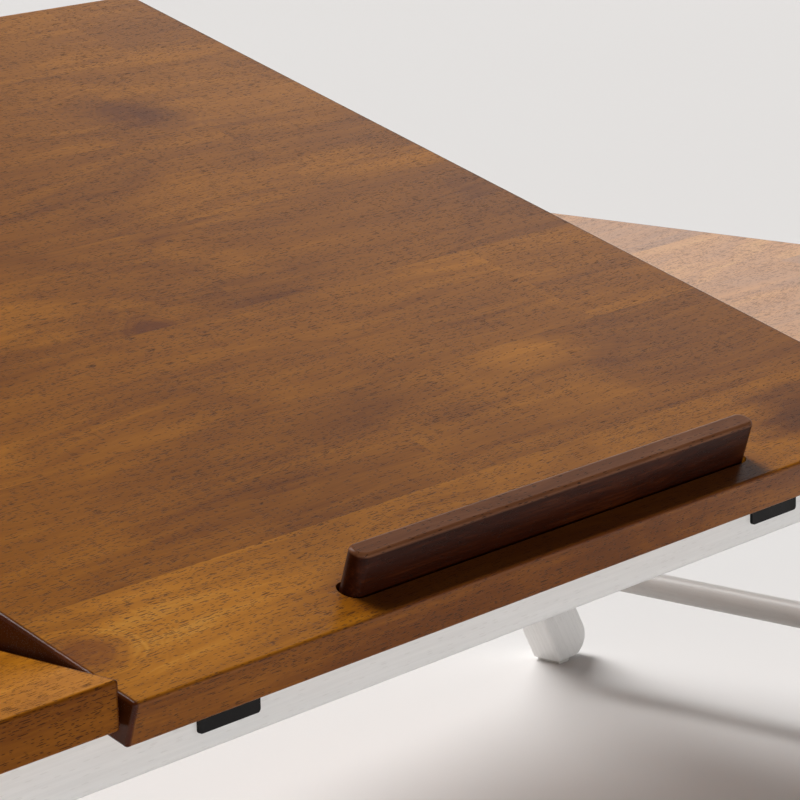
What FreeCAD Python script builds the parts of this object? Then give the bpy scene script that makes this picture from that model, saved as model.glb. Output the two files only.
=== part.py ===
import FreeCAD, Part
import Sketcher
import os
import re

# Folding laptop tray: a white frame on two splayed leg frames that fold inward, two fixed
# wooden top panels, and a middle panel that tilts on two butt hinges and carries a stop bar.
# Millimetres. Z = 0 is the floor, X runs along the tray, Y runs from front to back.

SIZES = [
    ("panel_depth", 387, "front to back of each top panel"),
    ("fixed_width", 186, "each fixed panel along the tray"),
    ("tilt_width", 380, "tilting panel along the tray"),
    ("panel_gap", 1.5, "slit between a fixed panel and the tilting one"),
    ("panel_thickness", 14, "fixed panels"),
    ("seat_gap", 0.3, "closed tilting panel over the frame"),
    ("edge_round", 1.2, "softened edges of the panels"),
    ("underside_height", 200, "floor to the underside of the fixed panels"),
    ("overhang", 21.5, "panels past the frame on every side"),
    ("rail_height", 24.8, "frame rails"),
    ("rail_thickness", 16, "frame rails"),
    ("rail_round", 2, "lower edges of the rails"),
    ("dowel_radius", 3, "corner and slat dowels"),
    ("dowel_depth", 10, "dowel in each piece"),
    ("dowel_pitch", 11, "between the two dowels of a corner"),
    ("glue_clear", 0.02, "round a glued or driven fastener"),
    ("fixing_radius", 1.75, "shank of a panel fixing screw"),
    ("fixing_head", 3.6, "head of a panel fixing screw"),
    ("fixing_head_height", 2.6, "head of a panel fixing screw"),
    ("fixing_recess", 6, "counterbore below a rail"),
    ("fixing_bite", 9, "fixing screw inside the panel"),
    ("fixing_inset", 36, "fixing screw from a panel's side"),
    ("tilt_angle", 17.5, "tilting panel as it stands"),
    ("knuckle_radius", 2.2, "hinge barrel"),
    ("hinge_clear", 0.3, "hinge barrel from the wood"),
    ("pin_radius", 1.1, "hinge pin"),
    ("turn_clear", 0.05, "round a pin or bolt that something turns on"),
    ("leaf_thickness", 1, "hinge leaf"),
    ("leaf_width", 24.6, "hinge leaf along the pin"),
    ("leaf_length", 16.5, "pin axis to the far edge of a leaf"),
    ("leaf_round", 1.2, "outer corners of a leaf"),
    ("knuckle_gap", 0.2, "between neighbouring knuckles"),
    ("hinge_inset", 60.3, "hinge middle from the tilting panel's side"),
    ("leaf_screw_pitch", 16.4, "between the two screws of a leaf"),
    ("leaf_screw_drop", 10, "pin axis to the screws of a leaf"),
    ("leaf_screw_radius", 1.2, "shank of a leaf screw"),
    ("leaf_screw_head", 2.5, "head of a leaf screw"),
    ("leaf_screw_length", 9, "leaf screw under its head's face"),
    ("stop_length", 188, "stop bar"),
    ("stop_thickness", 7.3, "stop bar"),
    ("stop_rise", 13.3, "stop bar over the panel"),
    ("stop_setback", 14, "front edge to the stop bar's middle"),
    ("stop_round", 1.2, "upper edge of the stop bar"),
    ("mortise_depth", 9, "mortise of the stop bar"),
    ("mortise_clear", 1.1, "stop bar to the mortise's wall"),
    ("stop_float", 0.3, "stop bar over the mortise's floor"),
    ("leg_width", 22, "leg seen from the front"),
    ("leg_thickness", 16, "leg from front to back"),
    ("leg_splay", 29, "leg from upright"),
    ("leg_stop_clear", 0.3, "open leg to the end rail"),
    ("leg_round", 1.6, "long edges of a leg"),
    ("toe_radius", 9, "outer lower corner of a leg"),
    ("pad_height", 1.5, "foot pad"),
    ("pad_length", 7, "foot pad along the tray"),
    ("pad_margin", 2, "foot pad inside the leg's faces"),
    ("washer_thickness", 0.8, "between leg and rail"),
    ("washer_radius", 8, "between leg and rail"),
    ("washer_clear", 0.1, "washer to the leg"),
    ("bolt_radius", 3, "leg pivot bolt"),
    ("bolt_head", 6, "leg pivot bolt"),
    ("bolt_head_height", 3, "leg pivot bolt"),
    ("bolt_bite", 12, "leg pivot bolt inside the rail"),
    ("stretcher_radius", 5.5, "dowel that joins two legs"),
    ("stretcher_height", 52, "stretcher axis over the floor"),
    ("stretcher_seat", 6, "stretcher inside each leg"),
    ("prop_distance", 180, "hinge axis to the prop pivot along the panel"),
    ("prop_hang", 7, "prop pivot under the panel"),
    ("prop_arm", 100, "prop pivot to the foot rod"),
    ("prop_spread", 50, "tray middle to a prop arm's middle"),
    ("arm_thickness", 5, "prop arm"),
    ("arm_width", 10, "prop arm"),
    ("rod_radius", 3, "prop pivot rod"),
    ("foot_radius", 3.5, "prop foot rod"),
    ("sleeve_radius", 4.5, "rubber sleeve on the foot rod"),
    ("foot_drop", 10, "fixed panels' underside to the foot rod's axis"),
    ("foot_clear", 0.3, "sleeve to the crest of the rack slat"),
    ("slat_offset", 70, "tray middle to a rack slat's middle"),
    ("slat_width", 18, "rack slat"),
    ("notch_pitch", 16, "between notches of a rack slat"),
    ("notch_depth", 2, "notch under the crest"),
    ("notch_radius", 5, "round floor of a notch"),
    ("plate_width", 18, "prop bracket plate along the tray"),
    ("plate_length", 26, "prop bracket plate front to back"),
    ("plate_thickness", 1.5, "prop bracket plate"),
    ("ear_thickness", 3, "prop bracket ear"),
    ("ear_gap", 0.5, "prop arm to the bracket ear"),
    ("bracket_screw_pitch", 18, "between the two screws of a bracket"),
    ("bracket_screw_margin", 6, "screw middle from the plate's outer end"),
    ("ear_radius", 5.5, "round end of a bracket ear"),
    ("sleeve_overrun", 1.5, "rubber sleeve past each side of a rack slat"),
    ("rest_pad_radius", 5, "pad on the rear rail"),
    ("rest_pad_height", 3, "pad on the rear rail, let in flush"),
    ("rest_pad_offset", 150, "tray middle to a rest pad"),
]

# Lengths that follow from the sizes. Y is counted from the front edge of the fixed panels.
DERIVED = [
    ("half_width", "tilt_width / 2 + panel_gap + fixed_width"),
    ("hinge_seat", "knuckle_radius + hinge_clear"),
    ("tilt_thickness", "panel_thickness - seat_gap"),
    ("axis_y", "overhang - hinge_seat"),
    ("axis_z", "underside_height + seat_gap - hinge_seat"),
    ("front_reach", "(axis_y - edge_round) * cos(tilt_angle) + edge_round - axis_y"
                    " + (hinge_seat + tilt_thickness - edge_round) * sin(tilt_angle)"),
    ("middle", "(panel_depth - front_reach) / 2"),
    ("board_y", "axis_y - axis_y * cos(tilt_angle) - hinge_seat * sin(tilt_angle)"),
    ("board_z", "axis_z - axis_y * sin(tilt_angle) + hinge_seat * cos(tilt_angle)"),
    ("rail_base", "underside_height - rail_height"),
    ("rail_inner", "overhang + rail_thickness"),
    ("rail_span", "2 * (half_width - overhang)"),
    ("end_inner", "half_width - rail_inner"),
    ("inner_depth", "panel_depth - 2 * rail_inner"),
    ("hinge_x", "tilt_width / 2 - hinge_inset"),
    ("leg_pivot_z", "underside_height - rail_height / 2"),
    ("leg_pivot_x", "end_inner - leg_stop_clear - rail_height / 2 * tan(leg_splay)"
                    " - leg_width / 2 / cos(leg_splay)"),
    ("leg_y", "rail_inner + washer_thickness + washer_clear"),
    ("leg_length", "(leg_pivot_z - pad_height) / cos(leg_splay)"),
    ("leg_slant", "leg_width / 2 * tan(leg_splay)"),
    ("sole_flat", "leg_width / cos(leg_splay) - toe_radius / tan(45 - leg_splay / 2)"),
    ("sole_x", "leg_pivot_x + leg_length * sin(leg_splay) - leg_width / 2 / cos(leg_splay)"
               " + (sole_flat - pad_length) / 2"),
    ("stretcher_reach", "(leg_pivot_z - stretcher_height) / cos(leg_splay)"),
    ("ear_inner", "prop_spread + arm_thickness / 2 + ear_gap"),
    ("bracket_screw_x", "ear_inner + plate_width - bracket_screw_margin"),
    ("prop_level", "hinge_seat - prop_hang"),
    ("prop_y", "axis_y + prop_distance * cos(tilt_angle) - prop_level * sin(tilt_angle)"),
    ("prop_z", "axis_z + prop_distance * sin(tilt_angle) + prop_level * cos(tilt_angle)"),
    ("foot_z", "underside_height - foot_drop"),
    ("prop_lean", "asin((prop_z - foot_z) / prop_arm)"),
    ("foot_y", "prop_y + prop_arm * cos(prop_lean)"),
    ("slat_height", "rail_height - foot_drop - sleeve_radius - foot_clear"),
]

LONG = FreeCAD.Vector(1, 0, 0)
DEEP = FreeCAD.Vector(0, 1, 0)
UP = FreeCAD.Vector(0, 0, 1)

SHEET_OF = {name: "Sizes" for name, number, note in SIZES}
SHEET_OF.update({name: "Derived" for name, rule in DERIVED})

doc = FreeCAD.newDocument("laptop_tray")
nodes = []


def fill_sheets():
    """Write the driving sizes and the lengths derived from them, each under its alias."""
    sizes = doc.addObject("Spreadsheet::Sheet", "Sizes")
    for row, (name, number, note) in enumerate(SIZES, 1):
        sizes.set(f"A{row}", name)
        sizes.set(f"B{row}", str(number))
        sizes.setAlias(f"B{row}", name)
        sizes.set(f"C{row}", note)
    doc.recompute()
    derived = doc.addObject("Spreadsheet::Sheet", "Derived")
    for row, (name, rule) in enumerate(DERIVED, 1):
        derived.set(f"A{row}", name)
        derived.set(f"B{row}", "=" + full(rule, "Derived"))
        derived.setAlias(f"B{row}", name)
        doc.recompute()


def full(rule, home=""):
    """Put the sheet's name before every size that a rule mentions."""
    def with_sheet(match):
        sheet = SHEET_OF.get(match.group())
        if sheet is None or sheet == home:
            return match.group()
        return sheet + "." + match.group()
    return re.sub(r"[a-z_]+", with_sheet, str(rule))


def bind(item, **rules):
    """Bind properties to rules; a double underscore in a name stands for a dot."""
    for name, rule in rules.items():
        item.setExpression(name.replace("__", "."), full(rule))


def place(item, x, y, z, axis=UP, angle=0):
    """Give a piece its place in the tray and, where it leans, its angle about an axis."""
    item.Placement = FreeCAD.Placement(FreeCAD.Vector(), FreeCAD.Rotation(axis, 30))
    bind(item, Placement__Base__x=x, Placement__Base__y=y, Placement__Base__z=z)
    bind(item, Placement__Rotation__Angle=angle)


def node(item, label):
    """Keep an object as a piece of the tray under its own name."""
    item.Label = label
    nodes.append(item)
    return item


def new_body(label):
    return node(doc.addObject("PartDesign::Body", label), label)


def new_sketch(body, role):
    """Start a sketch on one of the body's own origin planes."""
    sketch = body.newObject("Sketcher::SketchObject", body.Name + "_sketch")
    plane = [item for item in body.Origin.OriginFeatures if item.Role == role][0]
    sketch.AttachmentSupport = (plane, "")
    sketch.MapMode = "FlatFace"
    return sketch


def hold(sketch, kind, points, rule):
    """Add a driving distance between sketch points and bind it to a rule."""
    index = sketch.addConstraint(Sketcher.Constraint(kind, *points, 1.0))
    sketch.setExpression(f"Constraints[{index}]", full(rule))


def draw_rectangle(sketch, x, y, width, height):
    """Draw a rectangle from its lower left corner."""
    corners = [FreeCAD.Vector(a, b, 0) for a, b in ((1, 1), (2, 1), (2, 2), (1, 2))]
    first = sketch.GeometryCount
    for start, end in zip(corners, corners[1:] + corners[:1]):
        sketch.addGeometry(Part.LineSegment(start, end))
    for side in range(4):
        sketch.addConstraint(Sketcher.Constraint(
            "Coincident", first + side, 2, first + (side + 1) % 4, 1))
        direction = "Horizontal" if side % 2 == 0 else "Vertical"
        sketch.addConstraint(Sketcher.Constraint(direction, first + side))
    hold(sketch, "DistanceX", (-1, 1, first, 1), x)
    hold(sketch, "DistanceY", (-1, 1, first, 1), y)
    hold(sketch, "DistanceX", (first, 1, first, 2), width)
    hold(sketch, "DistanceY", (first + 1, 1, first + 1, 2), height)


def pad(body, sketch, length, back=False):
    feature = body.newObject("PartDesign::Pad", body.Name + "_pad")
    feature.Profile = sketch
    feature.Reversed = back
    bind(feature, Length=length)
    sketch.Visibility = False
    doc.recompute()
    return feature


def soften(body, radius, wanted):
    """Round every edge of the body that the wanted test picks."""
    base = body.Tip
    names = [f"Edge{number}" for number, edge in enumerate(base.Shape.Edges, 1) if wanted(edge)]
    feature = body.newObject("PartDesign::Fillet", body.Name + "_fillet")
    feature.Base = (base, names)
    bind(feature, Radius=radius)
    doc.recompute()


def solid_box(body, x, y, z, length, width, height, cut=False):
    """Add a block to a body, or cut it away."""
    kind = "PartDesign::SubtractiveBox" if cut else "PartDesign::AdditiveBox"
    feature = body.newObject(kind, body.Name + "_block")
    bind(feature, Length=length, Width=width, Height=height)
    bind(feature, Placement__Base__x=x, Placement__Base__y=y, Placement__Base__z=z)
    doc.recompute()
    return feature


def round_solid(body, x, y, z, axis, radius, height, cut=True):
    """Add a round bar along an axis of a body, or bore it away."""
    kind = "PartDesign::SubtractiveCylinder" if cut else "PartDesign::AdditiveCylinder"
    feature = body.newObject(kind, body.Name + "_bore")
    feature.Placement = FreeCAD.Placement(FreeCAD.Vector(), FreeCAD.Rotation(UP, axis))
    bind(feature, Radius=radius, Height=height)
    bind(feature, Placement__Base__x=x, Placement__Base__y=y, Placement__Base__z=z)
    doc.recompute()
    return feature


def rod(name, x, y, z, axis, radius, height):
    """Make a loose round bar from a point along an axis."""
    bar = doc.addObject("Part::Cylinder", name)
    bar.Placement = FreeCAD.Placement(FreeCAD.Vector(), FreeCAD.Rotation(UP, axis))
    bind(bar, Radius=radius, Height=height)
    bind(bar, Placement__Base__x=x, Placement__Base__y=y, Placement__Base__z=z)
    return bar


def cone(name, x, y, z, axis, wide, narrow, height):
    """Make a countersunk head that narrows along an axis."""
    head = doc.addObject("Part::Cone", name)
    head.Placement = FreeCAD.Placement(FreeCAD.Vector(), FreeCAD.Rotation(UP, axis))
    bind(head, Radius1=wide, Radius2=narrow, Height=height)
    bind(head, Placement__Base__x=x, Placement__Base__y=y, Placement__Base__z=z)
    return head


def joined(name, first, second):
    both = doc.addObject("Part::Fuse", name)
    both.Base = first
    both.Tool = second
    return both


def group(label, pieces):
    """Keep identical loose pieces as one node of separate solids."""
    bundle = doc.addObject("Part::Compound", label)
    bundle.Links = pieces
    doc.recompute()
    return node(bundle, label)


def tube(name, x, y, z, axis, outer, inner, length):
    ring = doc.addObject("Part::Cut", name)
    ring.Base = rod(name + "_outer", x, y, z, axis, outer, length)
    ring.Tool = rod(name + "_inner", x, y, z, axis, inner, length)
    return ring


def twin_of(source, name, normal, y="0"):
    """Mirror a piece across the middle of the tray, in X or in Y."""
    twin = doc.addObject("Part::Mirroring", name)
    twin.Source = source
    twin.Normal = normal
    bind(twin, Base__y=y)
    doc.recompute()
    return twin


def mirrored(source, label, normal, y="0"):
    """Keep the mirror image of a piece as a node of its own."""
    return node(twin_of(source, label, normal, y), label)


def four_of(piece):
    """Return a piece of the right front corner with its twins in the other three corners."""
    rear = twin_of(piece, piece.Name + "_rear", DEEP, "panel_depth / 2 - middle")
    twins = [twin_of(each, each.Name + "_left", LONG) for each in (piece, rear)]
    return [piece, rear] + twins


def sink_head(body, x, y, z, axis):
    """Cut the cone of a countersunk head, wide at a point and narrowing along an axis."""
    head = body.newObject("PartDesign::SubtractiveCone", body.Name + "_sink")
    head.Placement = FreeCAD.Placement(FreeCAD.Vector(), FreeCAD.Rotation(UP, axis))
    bind(head, Radius1="leaf_screw_head + glue_clear", Radius2="leaf_screw_radius + glue_clear",
         Height="leaf_thickness", Placement__Base__x=x, Placement__Base__y=y,
         Placement__Base__z=z)
    doc.recompute()


def along_x(edge):
    ends = [vertex.Point for vertex in edge.Vertexes]
    return len(ends) == 2 and abs(abs(ends[0].x - ends[1].x) - edge.Length) < 1e-6


def along_y(edge):
    ends = [vertex.Point for vertex in edge.Vertexes]
    return len(ends) == 2 and abs(abs(ends[0].y - ends[1].y) - edge.Length) < 1e-6


def fixing_places():
    """X and Y of the fixing screws of the right fixed panel, in the panel's own corner frame."""
    near = "overhang + rail_thickness / 2"
    far = "panel_depth - overhang - rail_thickness / 2"
    for x in ("fixing_inset", "fixed_width - fixing_inset - rail_inner"):
        for y in (near, far):
            yield x, y


def make_fixed_panels():
    """Fixed panel: a board with softened edges and pilot holes for its fixing screws."""
    body = new_body("right_fixed_panel")
    sketch = new_sketch(body, "XY_Plane")
    draw_rectangle(sketch, "0", "0", "fixed_width", "panel_depth")
    pad(body, sketch, "panel_thickness")
    soften(body, "edge_round", lambda edge: True)
    for x, y in fixing_places():
        round_solid(body, x, y, "0", UP, "fixing_radius + glue_clear", "fixing_bite + glue_clear")
    place(body, "tilt_width / 2 + panel_gap", "0 - middle", "underside_height")
    mirrored(body, "left_fixed_panel", LONG)


def make_fixings():
    """Screws that rise through the front and rear rails into the fixed panels."""
    screws = []
    base = "rail_base + fixing_recess"
    for side in ("1", "-1"):
        for x, y in fixing_places():
            x_place = f"{side} * (tilt_width / 2 + panel_gap + {x})"
            name = f"fixing_{len(screws)}"
            shank = rod(name + "_shank", x_place, f"{y} - middle", base, UP, "fixing_radius",
                        "rail_height - fixing_recess + fixing_bite")
            head = rod(name + "_head", x_place, f"{y} - middle", f"{base} - fixing_head_height",
                       UP, "fixing_head", "fixing_head_height")
            screws.append(joined(name, shank, head))
    group("panel_fixing_screws", screws)


def corner_dowel_levels():
    return ("rail_height / 2 - dowel_pitch / 2", "rail_height / 2 + dowel_pitch / 2")


def make_long_rail(label, inner_y, inward, y):
    """Front or rear rail: soft lower edges, dowel holes, fixing screw bores, bolt holes.

    inner_y is the rail's inner face in its own frame and inward is 1 where that face looks
    to the back of the tray.
    """
    body = new_body(label)
    sketch = new_sketch(body, "XY_Plane")
    draw_rectangle(sketch, "0", "0", "rail_span", "rail_thickness")
    pad(body, sketch, "rail_height")
    soften(body, "rail_round", lambda edge: along_x(edge) and edge.Vertexes[0].Z < 1e-6)
    centre = "rail_span / 2"
    into_rail = DEEP * -inward
    ends = ("rail_thickness / 2", "rail_span - rail_thickness / 2")
    for x in ends:
        for z in corner_dowel_levels():
            round_solid(body, x, inner_y, z, into_rail, "dowel_radius + glue_clear",
                        "dowel_depth + glue_clear")
    for side in ("-1", "1"):
        round_solid(body, f"{centre} + {side} * slat_offset", inner_y, "slat_height / 2",
                    into_rail, "dowel_radius + glue_clear", "dowel_depth + glue_clear")
        round_solid(body, f"{centre} + {side} * leg_pivot_x", inner_y, "rail_height / 2",
                    into_rail, "bolt_radius + glue_clear", "bolt_bite + glue_clear")
        for x, panel_y in list(fixing_places())[::2]:
            x_place = f"{centre} + {side} * (tilt_width / 2 + panel_gap + {x})"
            round_solid(body, x_place, "rail_thickness / 2", "0", UP,
                        "fixing_radius + glue_clear", "rail_height")
            round_solid(body, x_place, "rail_thickness / 2", "0", UP,
                        "fixing_head + glue_clear", "fixing_recess")
    place(body, "-rail_span / 2", y, "rail_base")
    return body


def make_front_rail():
    body = make_long_rail("front_rail", "rail_thickness", 1, "overhang - middle")
    for side in ("-1", "1"):
        for shift in ("-1", "1"):
            round_solid(body, f"rail_span / 2 + {side} * hinge_x + {shift} * leaf_screw_pitch / 2",
                        "0", "axis_z - rail_base - leaf_screw_drop", DEEP,
                        "leaf_screw_radius + glue_clear", "leaf_screw_length")


def make_rear_rail():
    body = make_long_rail("rear_rail", "0", -1, "panel_depth - rail_inner - middle")
    for side in ("-1", "1"):
        round_solid(body, f"rail_span / 2 + {side} * rest_pad_offset", "rail_thickness / 2",
                    "rail_height - rest_pad_height", UP, "rest_pad_radius + glue_clear",
                    "rest_pad_height")


def make_end_rails():
    """End rail between the long rails; its inner lower edge is what an open leg leans on."""
    body = new_body("right_end_rail")
    sketch = new_sketch(body, "XY_Plane")
    draw_rectangle(sketch, "0", "0", "rail_thickness", "inner_depth")
    pad(body, sketch, "rail_height")
    soften(body, "rail_round", lambda edge: along_y(edge) and edge.Vertexes[0].Z < 1e-6
           and edge.Vertexes[0].X > 1)
    for z in corner_dowel_levels():
        round_solid(body, "rail_thickness / 2", "0", z, DEEP, "dowel_radius + glue_clear",
                    "dowel_depth + glue_clear")
        round_solid(body, "rail_thickness / 2", "inner_depth", z, -DEEP,
                    "dowel_radius + glue_clear", "dowel_depth + glue_clear")
    place(body, "end_inner", "rail_inner - middle", "rail_base")
    mirrored(body, "left_end_rail", LONG)


def make_dowels():
    """Dowels in the four frame corners and at the ends of the rack slats."""
    seams = ("rail_inner", "panel_depth - rail_inner")
    corners = []
    slats = []
    for y in seams:
        start = f"{y} - dowel_depth - middle"
        for side in ("-1", "1"):
            for z in corner_dowel_levels():
                corners.append(rod(f"corner_dowel_{len(corners)}",
                                   f"{side} * (end_inner + rail_thickness / 2)", start,
                                   f"rail_base + {z}", DEEP, "dowel_radius", "2 * dowel_depth"))
            slats.append(rod(f"slat_dowel_{len(slats)}", f"{side} * slat_offset", start,
                             "rail_base + slat_height / 2", DEEP, "dowel_radius",
                             "2 * dowel_depth"))
    group("corner_dowels", corners)
    group("slat_dowels", slats)


def make_rack_slats():
    """Slat under the tilting panel with four round notches for the prop's foot."""
    body = new_body("right_rack_slat")
    sketch = new_sketch(body, "XY_Plane")
    draw_rectangle(sketch, "0", "0", "slat_width", "inner_depth")
    pad(body, sketch, "slat_height")
    for step in (-2, -1, 0, 1):
        round_solid(body, "0", f"foot_y - rail_inner + {step} * notch_pitch",
                    "slat_height + notch_radius - notch_depth", LONG, "notch_radius", "slat_width")
    for y, axis in (("0", DEEP), ("inner_depth", -DEEP)):
        round_solid(body, "slat_width / 2", y, "slat_height / 2", axis,
                    "dowel_radius + glue_clear", "dowel_depth + glue_clear")
    place(body, "slat_offset - slat_width / 2", "rail_inner - middle", "rail_base")
    mirrored(body, "left_rack_slat", LONG)


def make_rest_pads():
    pads = [rod(f"rest_pad_{side}", f"{side} * rest_pad_offset",
                "panel_depth - rail_inner + rail_thickness / 2 - middle",
                "underside_height - rest_pad_height", UP, "rest_pad_radius", "rest_pad_height")
            for side in (-1, 1)]
    group("rear_rest_pads", pads)


def make_leaf(label, knuckles):
    """Hinge leaf in its own frame: pin along X through the origin, leaf down the -Z side.

    The back of the leaf is hinge_seat behind the pin. knuckles lists which thirds of the
    barrel belong to the leaf.
    """
    body = new_body(label)
    sketch = new_sketch(body, "XZ_Plane")
    draw_rectangle(sketch, "0", "0", "leaf_width", "leaf_length")
    pad(body, sketch, "leaf_thickness")
    soften(body, "leaf_round", lambda edge: along_y(edge) and edge.Vertexes[0].Z > 1)
    for shift in ("-1", "1"):
        sink_head(body, f"leaf_width / 2 + {shift} * leaf_screw_pitch / 2", "-leaf_thickness",
                  "leaf_screw_drop", DEEP)
    third = "leaf_width / 3"
    for knuckle in knuckles:
        start = f"{knuckle} * {third} + knuckle_gap / 2"
        round_solid(body, start, "-hinge_seat", "0", LONG, "knuckle_radius",
                    f"{third} - knuckle_gap", cut=False)
    for gap in {0, 1, 2} - set(knuckles):
        solid_box(body, f"{gap} * {third} - knuckle_gap / 2", "-2 * hinge_seat", "0",
                  f"{third} + knuckle_gap", "2 * hinge_seat", "knuckle_radius + knuckle_gap",
                  cut=True)
    play = "turn_clear" if len(knuckles) == 1 else "glue_clear"
    round_solid(body, "0", "-hinge_seat", "0", LONG, f"pin_radius + {play}", "leaf_width")
    return body


def make_hinges():
    """Two butt hinges in the inner corner between the front rail and the tilting panel."""
    for side, sign in (("left", "-1"), ("right", "1")):
        start = f"{sign} * hinge_x - leaf_width / 2"
        rail_leaf = make_leaf(f"{side}_hinge_rail_leaf", (0, 2))
        rail_leaf.Placement = FreeCAD.Placement()
        place(rail_leaf, f"{start} + leaf_width", "axis_y + hinge_seat - middle", "axis_z",
              DEEP, "180")
        panel_leaf = make_leaf(f"{side}_hinge_panel_leaf", (1,))
        pin = rod(f"{side}_hinge_pin", start, "axis_y - middle", "axis_z", LONG, "pin_radius",
                  "leaf_width")
        node(pin, f"{side}_hinge_pin")
        place(panel_leaf, start,
              "axis_y - hinge_seat * sin(tilt_angle) - middle",
              "axis_z + hinge_seat * cos(tilt_angle)", LONG, "90 + tilt_angle")


def leaf_screw(name, x, y, z, axis):
    """Countersunk screw with its head's face at a point, driven along an axis."""
    head = cone(name + "_head", x, y, z, axis, "leaf_screw_head", "leaf_screw_radius",
                "leaf_thickness")
    shank = rod(name + "_shank", x, y, z, axis, "leaf_screw_radius", "leaf_screw_length")
    return joined(name, head, shank)


def make_leaf_screws():
    screws = []
    for sign in ("-1", "1"):
        for shift in ("-1", "1"):
            screws.append(leaf_screw(
                f"rail_leaf_screw_{len(screws)}",
                f"{sign} * hinge_x + {shift} * leaf_screw_pitch / 2",
                "overhang - leaf_thickness - middle", "axis_z - leaf_screw_drop", DEEP))
    group("rail_leaf_screws", screws)


def on_board(u, w):
    """Y and Z in the tray of a point of the tilted board: u back from its front lower edge,
    w up from its underside."""
    y = f"board_y + ({u}) * cos(tilt_angle) - ({w}) * sin(tilt_angle) - middle"
    z = f"board_z + ({u}) * sin(tilt_angle) + ({w}) * cos(tilt_angle)"
    return y, z


def stadium(body, x, y, z, length, width, height, cut=False):
    """Add or cut an upright bar whose plan has half-round ends."""
    radius = f"({width}) / 2"
    solid_box(body, f"{x} + {radius}", y, z, f"{length} - ({width})", width, height, cut)
    for centre in (f"{x} + {radius}", f"{x} + {length} - {radius}"):
        round_solid(body, centre, f"{y} + {radius}", z, UP, radius, height, cut)


def make_tilt_panel():
    """Tilting panel: a board with the stop bar's mortise and pilot holes on its underside."""
    body = new_body("tilt_panel")
    sketch = new_sketch(body, "XY_Plane")
    draw_rectangle(sketch, "0", "0", "tilt_width", "panel_depth")
    pad(body, sketch, "tilt_thickness")
    soften(body, "edge_round", lambda edge: True)
    stadium(body, "tilt_width / 2 - stop_length / 2 - mortise_clear",
            "stop_setback - stop_thickness / 2 - mortise_clear", "tilt_thickness - mortise_depth",
            "stop_length + 2 * mortise_clear", "stop_thickness + 2 * mortise_clear",
            "mortise_depth", cut=True)
    for x, u, bite in board_screw_places():
        round_solid(body, f"tilt_width / 2 + {x}", u, "0", UP, "leaf_screw_radius + glue_clear",
                    f"{bite} + glue_clear")
    y, z = on_board("0", "0")
    place(body, "-tilt_width / 2", y, z, LONG, "tilt_angle")


def board_screw_places():
    """X, distance from the front edge and bite of each screw in the board's underside."""
    for sign in ("-1", "1"):
        for shift in ("-1", "1"):
            yield (f"{sign} * hinge_x + {shift} * leaf_screw_pitch / 2",
                   "axis_y - leaf_screw_drop", "leaf_screw_length - leaf_thickness")
            yield (f"{sign} * bracket_screw_x",
                   f"axis_y + prop_distance + {shift} * bracket_screw_pitch / 2",
                   "leaf_screw_length - plate_thickness")


def make_board_screws():
    """Countersunk screws of the panel leaves and of the prop brackets."""
    leaf_screws = []
    bracket_screws = []
    for number, (x, u, bite) in enumerate(board_screw_places()):
        y, z = on_board(u, f"{bite} - leaf_screw_length")
        screw = leaf_screw(f"board_screw_{number}", x, y, z, UP)
        for piece in (screw.Base, screw.Tool):
            place(piece, x, y, z, LONG, "tilt_angle")
        (bracket_screws if "bracket" in x else leaf_screws).append(screw)
    group("panel_leaf_screws", leaf_screws)
    group("prop_bracket_screws", bracket_screws)


def make_stop_bar():
    """Bar with half-round ends that stands in the mortise near the board's front edge."""
    body = new_body("stop_bar")
    height = "mortise_depth - stop_float + stop_rise"
    stadium(body, "0", "0", "0", "stop_length", "stop_thickness", height)
    top = body.Tip.Shape.BoundBox.ZMax
    soften(body, "stop_round", lambda edge: all(abs(v.Z - top) < 1e-6 for v in edge.Vertexes))
    y, z = on_board("stop_setback - stop_thickness / 2",
                    "tilt_thickness - mortise_depth + stop_float")
    place(body, "-stop_length / 2", y, z, LONG, "tilt_angle")


def make_brackets():
    """Bracket of the prop pivot: a plate under the board with one round-ended ear."""
    body = new_body("right_prop_bracket")
    eye = "plate_thickness - prop_hang"
    solid_box(body, "0", "0", "0", "plate_width", "plate_length", "plate_thickness")
    solid_box(body, "0", "plate_length / 2 - ear_radius", eye, "ear_thickness",
              "2 * ear_radius", "prop_hang - plate_thickness / 2")
    round_solid(body, "0", "plate_length / 2", eye, LONG, "ear_radius", "ear_thickness", cut=False)
    round_solid(body, "0", "plate_length / 2", eye, LONG, "rod_radius + glue_clear",
                "ear_thickness")
    for shift in ("-1", "1"):
        y = f"plate_length / 2 + {shift} * bracket_screw_pitch / 2"
        round_solid(body, "bracket_screw_x - ear_inner", y, "0", UP,
                    "leaf_screw_radius + glue_clear", "plate_thickness")
        sink_head(body, "bracket_screw_x - ear_inner", y, "0", UP)
    y, z = on_board("axis_y + prop_distance - plate_length / 2", "-plate_thickness")
    place(body, "ear_inner", y, z, LONG, "tilt_angle")
    mirrored(body, "left_prop_bracket", LONG)


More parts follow.
